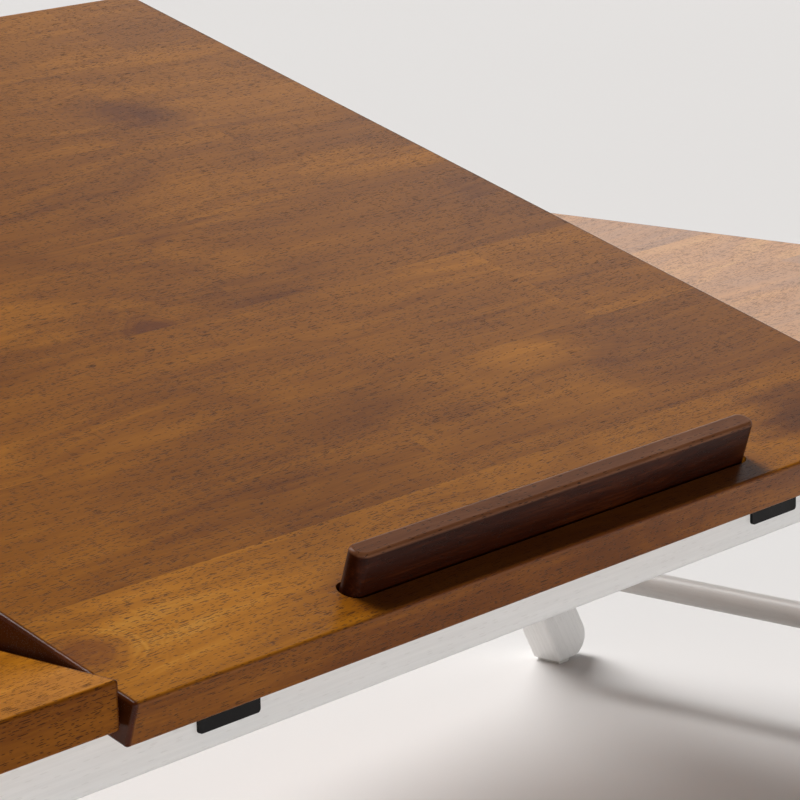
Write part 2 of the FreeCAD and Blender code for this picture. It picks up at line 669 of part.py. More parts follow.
def make_prop():
    """Prop that holds the board up: two arms on a pivot rod and a foot rod with sleeves."""
    body = new_body("right_prop_arm")
    solid_box(body, "0", "0", "-arm_width / 2", "arm_thickness", "prop_arm", "arm_width")
    for y in ("0", "prop_arm"):
        round_solid(body, "0", y, "0", LONG, "arm_width / 2", "arm_thickness", cut=False)
    round_solid(body, "0", "0", "0", LONG, "rod_radius + turn_clear", "arm_thickness")
    round_solid(body, "0", "prop_arm", "0", LONG, "foot_radius + glue_clear", "arm_thickness")
    place(body, "prop_spread - arm_thickness / 2", "prop_y - middle", "prop_z", LONG,
          "-prop_lean")
    mirrored(body, "left_prop_arm", LONG)
    pivot = "ear_inner + ear_thickness"
    node(rod("prop_pivot_rod", f"-({pivot})", "prop_y - middle", "prop_z", LONG, "rod_radius",
             f"2 * ({pivot})"), "prop_pivot_rod")
    reach = "slat_offset + slat_width / 2 + sleeve_overrun"
    node(rod("prop_foot_rod", f"-({reach})", "foot_y - middle", "foot_z", LONG, "foot_radius",
             f"2 * ({reach})"), "prop_foot_rod")
    start = "slat_offset - slat_width / 2 - sleeve_overrun"
    sleeve = tube("right_sleeve", start, "foot_y - middle", "foot_z", LONG, "sleeve_radius",
                  "foot_radius + glue_clear", "slat_width + 2 * sleeve_overrun")
    group("foot_rod_sleeves", [sleeve, twin_of(sleeve, "left_sleeve", LONG)])


def make_legs():
    """Right leg frame and its mirror image: two legs, a stretcher dowel and foot pads."""
    front = make_leg("right_front_leg")
    across = "panel_depth / 2 - middle"
    rear = mirrored(front, "right_rear_leg", DEEP, across)
    mirrored(front, "left_front_leg", LONG)
    mirrored(rear, "left_rear_leg", LONG)
    inner = "leg_y + leg_thickness - stretcher_seat"
    stretcher = node(rod("right_stretcher", "leg_pivot_x + stretcher_reach * sin(leg_splay)",
                         f"{inner} - middle", "stretcher_height", DEEP, "stretcher_radius",
                         f"panel_depth - 2 * ({inner})"), "right_stretcher")
    mirrored(stretcher, "left_stretcher", LONG)
    sole = doc.addObject("Part::Box", "right_front_pad")
    bind(sole, Length="pad_length", Width="leg_thickness - 2 * pad_margin", Height="pad_height")
    place(sole, "sole_x", "leg_y + pad_margin - middle", "0")
    pads = group("right_foot_pads", [sole, twin_of(sole, "right_rear_pad", DEEP, across)])
    mirrored(pads, "left_foot_pads", LONG)


def make_leg(label):
    """Leg with a round top about its pivot and a sole that lies level when the leg is open.

    The outline is drawn upright, with the pivot at the origin and the outer side at +X.
    """
    body = new_body(label)
    sketch = new_sketch(body, "XZ_Plane")
    corners = [FreeCAD.Vector(x, y, 0) for x, y in ((-11, 0), (-11, -200), (11, -213), (11, 0))]
    inner, sole, outer, top = (sketch.addGeometry(Part.LineSegment(start, end))
                               for start, end in zip(corners, corners[1:] + corners[:1]))
    for first, second in ((inner, sole), (sole, outer), (outer, top), (top, inner)):
        sketch.addConstraint(Sketcher.Constraint("Coincident", first, 2, second, 1))
    for line in (inner, outer):
        sketch.addConstraint(Sketcher.Constraint("Vertical", line))
    sketch.addConstraint(Sketcher.Constraint("PointOnObject", inner, 1, -1))
    sketch.addConstraint(Sketcher.Constraint("PointOnObject", outer, 2, -1))
    hold(sketch, "DistanceX", (inner, 1, -1, 1), "leg_width / 2")
    hold(sketch, "DistanceX", (inner, 1, outer, 2), "leg_width")
    hold(sketch, "DistanceY", (inner, 2, inner, 1), "leg_length - leg_slant")
    hold(sketch, "DistanceY", (outer, 1, outer, 2), "leg_length + leg_slant")
    pad(body, sketch, "leg_thickness", back=True)
    round_solid(body, "0", "0", "0", DEEP, "leg_width / 2", "leg_thickness", cut=False)
    low = body.Tip.Shape.BoundBox.ZMin
    soften(body, "toe_radius", lambda edge: along_y(edge) and edge.Vertexes[0].Z < low + 1e-6)
    faces = (body.Tip.Shape.BoundBox.YMin, body.Tip.Shape.BoundBox.YMax)
    soften(body, "leg_round", lambda edge: any(
        all(abs(vertex.Y - face) < 1e-6 for vertex in edge.Vertexes) for face in faces))
    round_solid(body, "0", "0", "0", DEEP, "bolt_radius + turn_clear", "leg_thickness")
    round_solid(body, "0", "leg_thickness - stretcher_seat", "-stretcher_reach", DEEP,
                "stretcher_radius + glue_clear", "stretcher_seat")
    place(body, "leg_pivot_x", "leg_y - middle", "leg_pivot_z", DEEP, "-leg_splay")
    return body


def make_pivots():
    """Bolts that the legs turn on, driven into the long rails, and the washers behind them."""
    start = "rail_inner - bolt_bite"
    stop = "leg_y + leg_thickness + washer_clear"
    shank = rod("bolt_shank", "leg_pivot_x", f"{start} - middle", "leg_pivot_z", DEEP,
                "bolt_radius", f"{stop} - ({start})")
    head = rod("bolt_head", "leg_pivot_x", f"{stop} - middle", "leg_pivot_z", DEEP, "bolt_head",
               "bolt_head_height")
    group("leg_pivot_bolts", four_of(joined("pivot_bolt", shank, head)))
    washer = tube("pivot_washer", "leg_pivot_x", "rail_inner - middle", "leg_pivot_z", DEEP,
                  "washer_radius", "bolt_radius + glue_clear", "washer_thickness")
    group("leg_washers", four_of(washer))


def check_model():
    """Stop if any object failed or any piece has no valid shape."""
    for item in doc.Objects:
        if "Invalid" in item.State or "Error" in item.State:
            raise RuntimeError(f"{item.Name} failed: {item.State}")
    for item in nodes:
        if item.Shape.isNull() or not item.Shape.isValid() or not item.Shape.Solids:
            raise RuntimeError(f"{item.Label} has no valid solid")


def write_parts():
    os.makedirs("parts", exist_ok=True)
    for item in nodes:
        item.Shape.exportStep(f"parts/{item.Label}.step")


def report():
    for item in nodes:
        box = item.Shape.BoundBox
        spans = ((box.XMin, box.XMax), (box.YMin, box.YMax), (box.ZMin, box.ZMax))
        words = "  ".join(f"{low:.2f} to {high:.2f}" for low, high in spans)
        print(f"{item.Label}: {len(item.Shape.Solids)} solid, {item.Shape.Volume:.0f} mm3, {words}")


fill_sheets()
make_fixed_panels()
make_fixings()
make_front_rail()
make_rear_rail()
make_end_rails()
make_dowels()
make_rack_slats()
make_rest_pads()
make_hinges()
make_leaf_screws()
make_tilt_panel()
make_board_screws()
make_stop_bar()
make_brackets()
make_prop()
make_legs()
make_pivots()
doc.recompute()
check_model()
write_parts()
report()
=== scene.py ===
# Looks of the folding laptop tray. Metres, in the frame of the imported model: X along the tray,
# Y from the stop bar's side to the back, Z up from the floor. The wood and paint patterns are
# laid out in millimetres on the boards, x along the grain and y across it.

import math

import bpy
import numpy as np
from mathutils import Euler, Matrix, Vector


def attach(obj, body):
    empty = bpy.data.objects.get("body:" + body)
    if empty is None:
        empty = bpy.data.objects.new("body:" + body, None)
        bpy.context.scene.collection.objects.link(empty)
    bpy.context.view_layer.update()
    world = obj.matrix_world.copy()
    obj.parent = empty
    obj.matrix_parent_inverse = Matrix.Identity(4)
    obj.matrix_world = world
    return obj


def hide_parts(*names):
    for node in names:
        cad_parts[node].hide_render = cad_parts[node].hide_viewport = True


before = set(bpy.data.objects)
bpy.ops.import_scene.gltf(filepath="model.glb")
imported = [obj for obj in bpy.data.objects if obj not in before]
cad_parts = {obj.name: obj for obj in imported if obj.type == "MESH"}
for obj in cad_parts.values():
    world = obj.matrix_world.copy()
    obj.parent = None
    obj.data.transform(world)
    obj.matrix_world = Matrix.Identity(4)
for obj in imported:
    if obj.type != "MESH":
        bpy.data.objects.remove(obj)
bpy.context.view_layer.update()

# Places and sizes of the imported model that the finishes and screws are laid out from.
TILT = math.radians(17.5)
BOARD_CORNER = Vector((0.0, -0.191529, 0.194471))
SIDE_FRONT = -0.191657
SIDE_MIDDLE = 0.2845
UNDERSIDE = 0.2
BOARD_DEPTH_MM = 387.0
ROW_REACH_MM = 200.0
HINGE_X = 0.1297
LEAF_HOLE_X = 0.0082
BRACKET_X = 0.065
LEG_LEAN = math.radians(61)

FLOOR_TONE = (0.80, 0.785, 0.775)


def tint(red, green, blue):
    """Linear colour of an sRGB one given from 0 to 255."""
    parts = np.array([red, green, blue]) / 255
    flat = np.where(parts <= 0.04045, parts / 12.92, ((parts + 0.055) / 1.055) ** 2.4)
    return (*flat.tolist(), 1.0)


def add(tree, kind, inputs=None, **settings):
    """Add a shader node, set its options and fill its sockets with values or links."""
    node = tree.nodes.new("ShaderNode" + kind)
    for name, value in settings.items():
        setattr(node, name, value)
    for key, value in (inputs or {}).items():
        fill(tree, node.inputs[key], value)
    return node


def fill(tree, socket, value):
    """Link an output to a socket, or set the socket's own value."""
    if isinstance(value, bpy.types.NodeSocket):
        tree.links.new(value, socket)
    else:
        socket.default_value = value


def calc(tree, operation, *values):
    """Output of a Math node."""
    return add(tree, "Math", dict(enumerate(values)), operation=operation).outputs[0]


def pick(tree, mask, low, high):
    """Colour mixed from low to high by a mask."""
    node = add(tree, "Mix", {0: mask, 6: low, 7: high}, data_type="RGBA")
    return node.outputs[2]


def between(tree, value, low, high, first=0.0, last=1.0):
    """Value eased from first to last while it goes from low to high."""
    node = add(tree, "MapRange", {0: value, 1: low, 2: high, 3: first, 4: last},
               interpolation_type="SMOOTHSTEP")
    return node.outputs[0]


def stretched(tree, vector, scale, turn=(0, 0, 0), shift=(0, 0, 0)):
    """Vector scaled, then turned, then moved."""
    node = add(tree, "Mapping", {"Vector": vector, "Scale": scale, "Rotation": turn,
                                 "Location": shift})
    return node.outputs[0]


def cloud(tree, vector, detail=2.0, rough=0.5, bend=0.0):
    """Noise from 0 to 1 with its own unit size."""
    return add(tree, "TexNoise", {"Vector": vector, "Scale": 1.0, "Detail": detail,
                                  "Roughness": rough, "Distortion": bend}).outputs["Fac"]


def start_group(name, inputs, outputs):
    """New node group: inputs are (name, socket, default), outputs are (name, socket)."""
    tree = bpy.data.node_groups.new(name, "ShaderNodeTree")
    for label, kind, default in inputs:
        socket = tree.interface.new_socket(label, in_out="INPUT", socket_type="NodeSocket" + kind)
        if default is not None:
            socket.default_value = default
    for label, kind in outputs:
        tree.interface.new_socket(label, in_out="OUTPUT", socket_type="NodeSocket" + kind)
    return tree, tree.nodes.new("NodeGroupInput").outputs, tree.nodes.new("NodeGroupOutput").inputs


def use(tree, group, **inputs):
    """Place a node group and fill its inputs; underscores in names stand for spaces."""
    node = tree.nodes.new("ShaderNodeGroup")
    node.node_tree = group
    for key, value in inputs.items():
        fill(tree, node.inputs[key.replace("_", " ")], value)
    return node.outputs


def make_staves():
    """Glued staves: which stave a point is in, where on it, and the glue line's mask."""
    tree, given, out = start_group(
        "glued_staves",
        [("Vector", "Vector", None), ("Width", "Float", 57.5), ("First", "Float", 46.0),
         ("Length", "Float", 290.0), ("Seed", "Float", 0.0)],
        [("Row", "Float"), ("Random", "Color"), ("Vector", "Vector"), ("Seam", "Float")])
    axes = add(tree, "SeparateXYZ", {0: given["Vector"]}).outputs
    behind = calc(tree, "SUBTRACT", given["Width"], given["First"])
    rows = calc(tree, "DIVIDE", calc(tree, "ADD", axes[1], behind), given["Width"])
    row = calc(tree, "FLOOR", rows)
    across = calc(tree, "MULTIPLY", calc(tree, "SUBTRACT", rows, row), given["Width"])
    from_seam = calc(tree, "MINIMUM", across, calc(tree, "SUBTRACT", given["Width"], across))
    chance = add(tree, "TexWhiteNoise", {"W": calc(tree, "ADD", row, given["Seed"])},
                 noise_dimensions="1D").outputs["Value"]
    along = calc(tree, "ADD", calc(tree, "DIVIDE", axes[0], given["Length"]), chance)
    piece = calc(tree, "FLOOR", along)
    place = add(tree, "CombineXYZ", {0: row, 1: piece, 2: given["Seed"]}).outputs[0]
    random = add(tree, "TexWhiteNoise", {"Vector": place}).outputs["Color"]
    spread = add(tree, "VectorMath", {0: random, 3: 900.0}, operation="SCALE").outputs[0]
    own = add(tree, "VectorMath", {0: given["Vector"], 1: spread}, operation="ADD").outputs[0]
    tree.links.new(row, out["Row"])
    tree.links.new(random, out["Random"])
    tree.links.new(own, out["Vector"])
    tree.links.new(between(tree, from_seam, 0.0, 0.35, 1.0, 0.0), out["Seam"])
    return tree


def make_figure():
    """Growth figure of a plain-sawn stave: wandering bands, soft blotches and fine fibres."""
    tree, given, out = start_group(
        "wood_figure",
        [("Vector", "Vector", None), ("Band", "Float", 11.0), ("Wander", "Float", 14.0)],
        [("Bands", "Float"), ("Blotch", "Float"), ("Streaks", "Float"), ("Fibre", "Float")])
    drift = cloud(tree, stretched(tree, given["Vector"], (0.006, 0.020, 0.020)), 2.0)
    heart = cloud(tree, stretched(tree, given["Vector"], (0.0025, 0.0, 0.0)), 1.0)
    axes = add(tree, "SeparateXYZ", {0: given["Vector"]}).outputs
    depth = calc(tree, "ADD", calc(tree, "MULTIPLY", heart, 160.0),
                 calc(tree, "MULTIPLY", axes[2], 0.8))
    side = calc(tree, "ADD", axes[1], calc(tree, "MULTIPLY", drift, 90.0))
    slope = calc(tree, "ADD", calc(tree, "MULTIPLY", side, 0.45), depth)
    wave = calc(tree, "ADD", slope, calc(tree, "MULTIPLY", drift, given["Wander"]))
    level = calc(tree, "DIVIDE", wave, given["Band"])
    bands = add(tree, "TexNoise", {"W": level, "Scale": 1.0, "Detail": 3.0, "Roughness": 0.6},
                noise_dimensions="1D").outputs["Fac"]
    blotch = cloud(tree, stretched(tree, given["Vector"], (0.011, 0.028, 0.028)), 3.0, 0.55, 0.4)
    bowed = add(tree, "CombineXYZ", {1: calc(tree, "MULTIPLY", drift, 30.0)}).outputs[0]
    lines = add(tree, "VectorMath", {0: given["Vector"], 1: bowed}, operation="ADD").outputs[0]
    streaks = cloud(tree, stretched(tree, lines, (0.007, 0.26, 0.26)), 3.0, 0.62)
    fibre = cloud(tree, stretched(tree, lines, (0.035, 1.3, 1.3)), 3.0, 0.6)
    tree.links.new(streaks, out["Streaks"])
    tree.links.new(bands, out["Bands"])
    tree.links.new(blotch, out["Blotch"])
    tree.links.new(fibre, out["Fibre"])
    return tree


def make_pores():
    """Open pores: short dark strokes along the grain, gathered in drifts."""
    tree, given, out = start_group(
        "open_pores",
        [("Vector", "Vector", None), ("Length", "Float", 4.0), ("Thickness", "Float", 0.55),
         ("Share", "Float", 0.5)],
        [("Mask", "Float")])
    scale = add(tree, "CombineXYZ", {0: calc(tree, "DIVIDE", 1.0, given["Length"]),
                                     1: calc(tree, "DIVIDE", 1.0, given["Thickness"]),
                                     2: calc(tree, "DIVIDE", 1.0, given["Thickness"])}).outputs[0]
    bent = cloud(tree, stretched(tree, given["Vector"], (0.012, 0.02, 0.02)), 1.0)
    lean = add(tree, "CombineXYZ", {1: calc(tree, "MULTIPLY", bent, 9.0)}).outputs[0]
    moved = add(tree, "VectorMath", {0: given["Vector"], 1: lean}, operation="ADD").outputs[0]
    cells = add(tree, "VectorMath", {0: moved, 1: scale}, operation="MULTIPLY").outputs[0]
    spots = add(tree, "TexVoronoi", {"Vector": cells, "Scale": 1.0}).outputs
    random = add(tree, "SeparateColor", {0: spots["Color"]}).outputs[0]
    drifts = cloud(tree, stretched(tree, given["Vector"], (0.012, 0.09, 0.09)), 2.0)
    keep = calc(tree, "GREATER_THAN",
                calc(tree, "MULTIPLY", given["Share"],
                     between(tree, drifts, 0.28, 0.62, 0.3, 1.0)), random)
    dash = between(tree, spots["Distance"], 0.24, 0.36, 1.0, 0.0)
    tree.links.new(calc(tree, "MULTIPLY", dash, keep), out["Mask"])
    return tree


def make_knot():
    """Knot: oval rings about a centre, a dark eye and a halo that fades outwards."""
    tree, given, out = start_group(
        "ringed_knot",
        [("Vector", "Vector", None), ("Centre", "Vector", None), ("Radius", "Float", 10.0)],
        [("Rings", "Float"), ("Eye", "Float"), ("Halo", "Float")])
    away = add(tree, "VectorMath", {0: given["Vector"], 1: given["Centre"]},
               operation="SUBTRACT").outputs[0]
    rough = cloud(tree, stretched(tree, given["Vector"], (0.06, 0.06, 0.06)), 1.0)
    oval = stretched(tree, away, (0.85, 1.0, 0.12))
    far = add(tree, "VectorMath", {0: oval}, operation="LENGTH").outputs["Value"]
    far = calc(tree, "MULTIPLY", far, calc(tree, "ADD", calc(tree, "MULTIPLY", rough, 0.6), 0.7))
    share = calc(tree, "DIVIDE", far, given["Radius"])
    ring = add(tree, "TexNoise", {"W": calc(tree, "MULTIPLY", far, 0.6), "Scale": 1.0,
                                  "Detail": 1.0}, noise_dimensions="1D").outputs["Fac"]
    tree.links.new(ring, out["Rings"])
    tree.links.new(between(tree, share, 0.35, 1.25, 1.0, 0.0), out["Eye"])
    tree.links.new(between(tree, share, 0.8, 3.0, 1.0, 0.0), out["Halo"])
    return tree


STAVES = make_staves()
FIGURE = make_figure()
PORES = make_pores()
KNOT = make_knot()


def start_material(name, **plain):
    """Material with a Principled shader; plain sockets are set directly."""
    material = bpy.data.materials.new(name)
    material.use_nodes = True
    tree = material.node_tree
    shader = next(node for node in tree.nodes if node.type == "BSDF_PRINCIPLED")
    for key, value in plain.items():
        shader.inputs[key.replace("_", " ")].default_value = value
    return material, tree, shader


def in_millimetres(tree, corner=(0, 0, 0), turn=0.0, axis="X"):
    """Object coordinates in millimetres, counted from a corner and turned to lie flat."""
    coords = add(tree, "TexCoord").outputs["Object"]
    angles = {"X": (turn, 0, 0), "Y": (0, turn, 0), "Z": (0, 0, turn)}[axis]
    shift = -(Euler(angles).to_matrix() @ (Vector(corner) * 1000))
    return stretched(tree, coords, (1000, 1000, 1000), angles, shift)


def rough_bump(tree, shader, height, strength, distance):
    """Fine relief from a height pattern, distance deep in metres."""
    bump = add(tree, "Bump", {"Height": height, "Strength": strength, "Distance": distance})
    tree.links.new(bump.outputs[0], shader.inputs["Normal"])


def tone_ramp(tree, value, stops, constant=False):
    """Colour read from (place, colour) stops, stepped when constant."""
    ramp = tree.nodes.new("ShaderNodeValToRGB")
    tree.links.new(value, ramp.inputs[0])
    ramp.color_ramp.interpolation = "CONSTANT" if constant else "LINEAR"
    points = ramp.color_ramp.elements
    while len(points) < len(stops):
        points.new(0.5)
    for point, (place, colour) in zip(points, stops):
        point.position = place
        point.color = colour
    return ramp.outputs[0]


BROWNS = [(0.0, tint(68, 29, 6)), (0.3, tint(114, 62, 12)), (0.52, tint(150, 90, 17)),
          (0.75, tint(186, 118, 28)), (1.0, tint(214, 154, 64))]


def lacquered_board(name, corner, turn, half, first, seed, knots=(), staves=(), patches=(),
                    pale=0.5, shine=0.22, painted_stop_shadow=False):
    """Edge-glued brown hardwood under satin lacquer.

    corner is the middle of the board's front lower edge in metres, turn its tilt, half its half
    length and first the front row's width in millimetres, seed its draw of staves. knots lists
    (x, y, radius, row, strength) on the board. staves lists, for each row of staves from the
    front, pairs of where a stave starts along the board and how pale it is from 0 to 1.
    patches lists (x, y, length, width, row, change of tone) of soft paler or darker places.
    The last option paints the stop bar's shadow, a dark red-brown, onto the strip in front of the
    bar.
    """
    material, tree, shader = start_material(name, IOR=1.5, Specular_IOR_Level=shine)
    board = in_millimetres(tree, corner, turn)
    glued = use(tree, STAVES, Vector=board, First=first, Seed=seed)
    own = glued["Vector"]
    figure = use(tree, FIGURE, Vector=own)
    fine = use(tree, PORES, Vector=own, Length=2.6, Thickness=0.42, Share=0.9)["Mask"]
    long = use(tree, PORES, Vector=own, Length=6.5, Thickness=0.50, Share=0.45)["Mask"]
    pores = calc(tree, "MAXIMUM", fine, long)
    if staves:
        tone = row_tones(tree, board, glued["Row"], staves)
    else:
        chance = add(tree, "SeparateColor", {0: glued["Random"]}).outputs[0]
        tone = calc(tree, "ADD", calc(tree, "MULTIPLY", chance, 0.22), pale - 0.11)
    axes = add(tree, "SeparateXYZ", {0: board}).outputs
    # Painted shade: the boards' front and back edge faces are given a darker tone.
    from_edge = calc(tree, "MINIMUM", axes[1], calc(tree, "SUBTRACT", BOARD_DEPTH_MM, axes[1]))
    edge = between(tree, from_edge, 0.2, 0.9, 1.0, 0.0)
    for x, y, length, width, row, change in patches:
        tone = calc(tree, "ADD", tone, soft_patch(tree, board, glued["Row"], x, y, length, width,
                                                  row, change))
    tone = add(tree, "Mix", {0: edge, 2: tone, 3: 0.33}, data_type="FLOAT").outputs[0]
    for part, amount in (("Bands", 0.3), ("Blotch", 0.34), ("Streaks", 0.34), ("Fibre", 0.24)):
        tone = leaning(tree, tone, figure[part], amount)
    eyes = []
    for x, y, radius, row, strength in knots:
        knot = use(tree, KNOT, Vector=board, Centre=(x, y, 0), Radius=radius)
        here = add(tree, "Math", {0: glued["Row"], 1: float(row), 2: 0.5},
                   operation="COMPARE").outputs[0]
        here = calc(tree, "MULTIPLY", here, strength)
        tone = calc(tree, "SUBTRACT", tone,
                    calc(tree, "MULTIPLY", calc(tree, "MULTIPLY", knot["Eye"], 0.20), here))
        eyes.append(calc(tree, "MULTIPLY", knot["Eye"], here))
        rings = calc(tree, "MULTIPLY", calc(tree, "SUBTRACT", knot["Rings"], 0.55), 0.42)
        rings = calc(tree, "MULTIPLY", rings, knot["Halo"])
        tone = calc(tree, "ADD", tone, calc(tree, "MULTIPLY", rings, here))
    # The boards' end faces and their rounded edges are darkened: end grain takes the stain darker,
    # and the depth of the darkening is painted shade.
    end_grain_and_shade = between(tree, calc(tree, "ABSOLUTE", axes[0]), half - 1.8, half - 0.7)
    colour = tone_ramp(tree, tone, BROWNS)
    colour = pick(tree, calc(tree, "MULTIPLY", pores, 0.75), colour, tint(50, 22, 8))
    end_grain_shade_colour = pick(tree, figure["Bands"], tint(30, 7, 3), tint(84, 34, 13))
    colour = pick(tree, calc(tree, "MULTIPLY", end_grain_and_shade, 0.95), colour, end_grain_shade_colour)
    for eye in eyes:
        colour = pick(tree, calc(tree, "MULTIPLY", eye, 0.5), colour, tint(118, 62, 28))
    # Painted shadow: the strip in front of the stop bar is darkened to the red-brown of the bar's
    # shade.
    if painted_stop_shadow:
        strip = calc(tree, "MULTIPLY", between(tree, axes[1], 17.0, 27.0, 1.0, 0.0),
                     between(tree, calc(tree, "ABSOLUTE", axes[0]), 84.0, 104.0, 1.0, 0.0))
        strip = calc(tree, "MULTIPLY", strip, between(tree, axes[2], 12.5, 13.8))
        colour = pick(tree, calc(tree, "MULTIPLY", strip, 0.72), colour, tint(78, 25, 8))
    lines = calc(tree, "MULTIPLY", glued["Seam"], 0.22)
    colour = pick(tree, lines, colour, tint(60, 32, 14))
    tree.links.new(colour, shader.inputs["Base Color"])
    gloss = calc(tree, "ADD", calc(tree, "MULTIPLY", figure["Blotch"], 0.08), 0.26)
    gloss = calc(tree, "ADD", gloss, calc(tree, "MULTIPLY", pores, 0.15))
    gloss = calc(tree, "ADD", gloss, calc(tree, "MULTIPLY", end_grain_and_shade, -0.1))
    tree.links.new(gloss, shader.inputs["Roughness"])
    height = calc(tree, "SUBTRACT", calc(tree, "MULTIPLY", figure["Fibre"], 0.25),
                  calc(tree, "MULTIPLY", pores, 0.8))
    rough_bump(tree, shader, height, 0.35, 0.00012)
    return material


def leaning(tree, tone, pattern, amount):
    """Tone moved up or down by a pattern about its middle."""
    shift = calc(tree, "MULTIPLY", calc(tree, "SUBTRACT", pattern, 0.5), amount)
    return calc(tree, "ADD", tone, shift)


def soft_patch(tree, board, rows, x, y, length, width, row, change):
    """Change of tone in an oval place that fades out, kept to one row unless row is None."""
    away = add(tree, "VectorMath", {0: board, 1: (x, y, 0)}, operation="SUBTRACT").outputs[0]
    oval = stretched(tree, away, (2 / length, 2 / width, 0))
    far = add(tree, "VectorMath", {0: oval}, operation="LENGTH").outputs["Value"]
    wear_and_sheen = cloud(tree, stretched(tree, board, (0.03, 0.09, 0.09)), 2.0)
    far = calc(tree, "ADD", far, calc(tree, "MULTIPLY", calc(tree, "SUBTRACT", wear_and_sheen, 0.5), 1.2))
    amount = between(tree, far, 0.35, 1.1, change, 0.0)
    if row is None:
        return amount
    here = add(tree, "Math", {0: rows, 1: float(row), 2: 0.5}, operation="COMPARE").outputs[0]
    return calc(tree, "MULTIPLY", amount, here)


def row_tones(tree, board, row, staves):
    """How pale each stave is, read from one stepped ramp, a row of staves after another."""
    x = add(tree, "SeparateXYZ", {0: board}).outputs[0]
    share = calc(tree, "DIVIDE", calc(tree, "ADD", x, ROW_REACH_MM), 2 * ROW_REACH_MM)
    place = calc(tree, "DIVIDE", calc(tree, "ADD", row, share), float(len(staves)))
    stops = [((number + (start + ROW_REACH_MM) / (2 * ROW_REACH_MM)) / len(staves),
              (pale, pale, pale, 1))
             for number, pieces in enumerate(staves) for start, pale in pieces]
    return tone_ramp(tree, place, stops, constant=True)


def stop_bar_wood():
    """Dark red-brown wood with a painted sheen: paler tones along the bar's top, where the light
    falls.
    """
    dark = (tint(26, 7, 2), tint(50, 17, 4), tint(84, 39, 12))
    wear_and_sheen = (tint(92, 55, 34), tint(112, 70, 45), tint(134, 90, 60))
    material, tree, shader = start_material("stop_bar_wood", IOR=1.5, Specular_IOR_Level=0.1)
    length = in_millimetres(tree, BOARD_CORNER, -TILT)
    tone, pores = wood_pattern(tree, shader, length, 0.5)
    height = add(tree, "SeparateXYZ", {0: length}).outputs[2]
    # Painted sheen: the bar's top gets paler tones than its front.
    painted_sheen_top = between(tree, height, 25.4, 26.4)
    colour = pick(tree, painted_sheen_top, tone_ramp(tree, tone, spread(dark)),
                  tone_ramp(tree, tone, spread(wear_and_sheen)))
    colour = pick(tree, calc(tree, "MULTIPLY", pores, 0.8), colour, dark[0])
    tree.links.new(colour, shader.inputs["Base Color"])
    return material


def plain_wood(name, tones, turn, axis, pore):
    """One solid length of wood, its grain turned to lie along the piece."""
    material, tree, shader = start_material(name)
    length = in_millimetres(tree, (0, 0, 0), turn, axis)
    tone, pores = wood_pattern(tree, shader, length, 0.5)
    colour = tone_ramp(tree, tone, spread(tones))
    colour = pick(tree, calc(tree, "MULTIPLY", pores, pore), colour, tones[0])
    tree.links.new(colour, shader.inputs["Base Color"])
    return material


def spread(tones):
    """Stops of a ramp through a dark, a middle and a pale tone."""
    return list(zip((0.2, 0.5, 0.8), tones))


def wood_pattern(tree, shader, length, swing):
    """Tone and pores of one length of wood; its gloss and relief go to the shader."""
    figure = use(tree, FIGURE, Vector=length, Band=6.0)
    pores = use(tree, PORES, Vector=length, Length=3.2, Thickness=0.45, Share=0.6)["Mask"]
    tone = 0.5
    for part in ("Bands", "Blotch", "Streaks", "Fibre"):
        tone = leaning(tree, tone, figure[part], swing)
    gloss = calc(tree, "ADD", calc(tree, "MULTIPLY", figure["Fibre"], 0.12), 0.26)
    tree.links.new(gloss, shader.inputs["Roughness"])
    height = calc(tree, "SUBTRACT", calc(tree, "MULTIPLY", figure["Fibre"], 0.3), pores)
    rough_bump(tree, shader, height, 0.35, 0.0001)
    return tone, pores


def white_paint(name, turn=0.0, axis="X", greyer=0.0):
    """Satin white paint on wood: grain and pores show faintly; the last option mixes its colour
    that far towards a warm grey.
    """
    material, tree, shader = start_material(name, IOR=1.46)
    length = in_millimetres(tree, (0, 0, 0), turn, axis)
    fibre = cloud(tree, stretched(tree, length, (0.02, 0.8, 0.8)), 3.0, 0.6)
    pores = use(tree, PORES, Vector=length, Length=5.0, Thickness=0.5, Share=0.35)["Mask"]
    cast = cloud(tree, stretched(tree, length, (0.008, 0.03, 0.03)), 2.0)
    colour = pick(tree, between(tree, fibre, 0.35, 0.7), tint(233, 232, 230), tint(240, 239, 237))
    colour = pick(tree, calc(tree, "MULTIPLY", cast, 0.4), colour, tint(229, 227, 224))
    colour = pick(tree, calc(tree, "MULTIPLY", pores, 0.11), colour, tint(150, 143, 135))
    colour = pick(tree, greyer, colour, tint(142, 134, 127))
    tree.links.new(colour, shader.inputs["Base Color"])
    gloss = calc(tree, "ADD", calc(tree, "MULTIPLY", fibre, 0.12), 0.36)
    tree.links.new(gloss, shader.inputs["Roughness"])
    height = calc(tree, "SUBTRACT", calc(tree, "MULTIPLY", fibre, 0.5), pores)
    rough_bump(tree, shader, height, 0.4, 0.00010)
    return material


def coated_steel(name, colour, rough, metal=0.0, grain=0.25):
    """Steel with a satin black coat or bright zinc, its small specks and paler scuffed spots."""
    material, tree, shader = start_material(name, IOR=1.5, Metallic=metal,
                                            Specular_IOR_Level=0.5 if metal else 0.18)
    length = in_millimetres(tree)
    speck = cloud(tree, stretched(tree, length, (1.6, 1.6, 1.6)), 3.0, 0.6)
    rub = cloud(tree, stretched(tree, length, (0.12, 0.12, 0.12)), 2.0)
    pale = tuple(min(1.0, part * 1.7 + 0.01) for part in colour[:3]) + (1.0,)
    mask = calc(tree, "MULTIPLY", between(tree, rub, 0.45, 0.75), between(tree, speck, 0.4, 0.7))
    tree.links.new(pick(tree, mask, colour, pale), shader.inputs["Base Color"])
    gloss = calc(tree, "ADD", calc(tree, "MULTIPLY", speck, 0.16), rough)
    tree.links.new(gloss, shader.inputs["Roughness"])
    rough_bump(tree, shader, speck, grain, 0.00008)
    return material


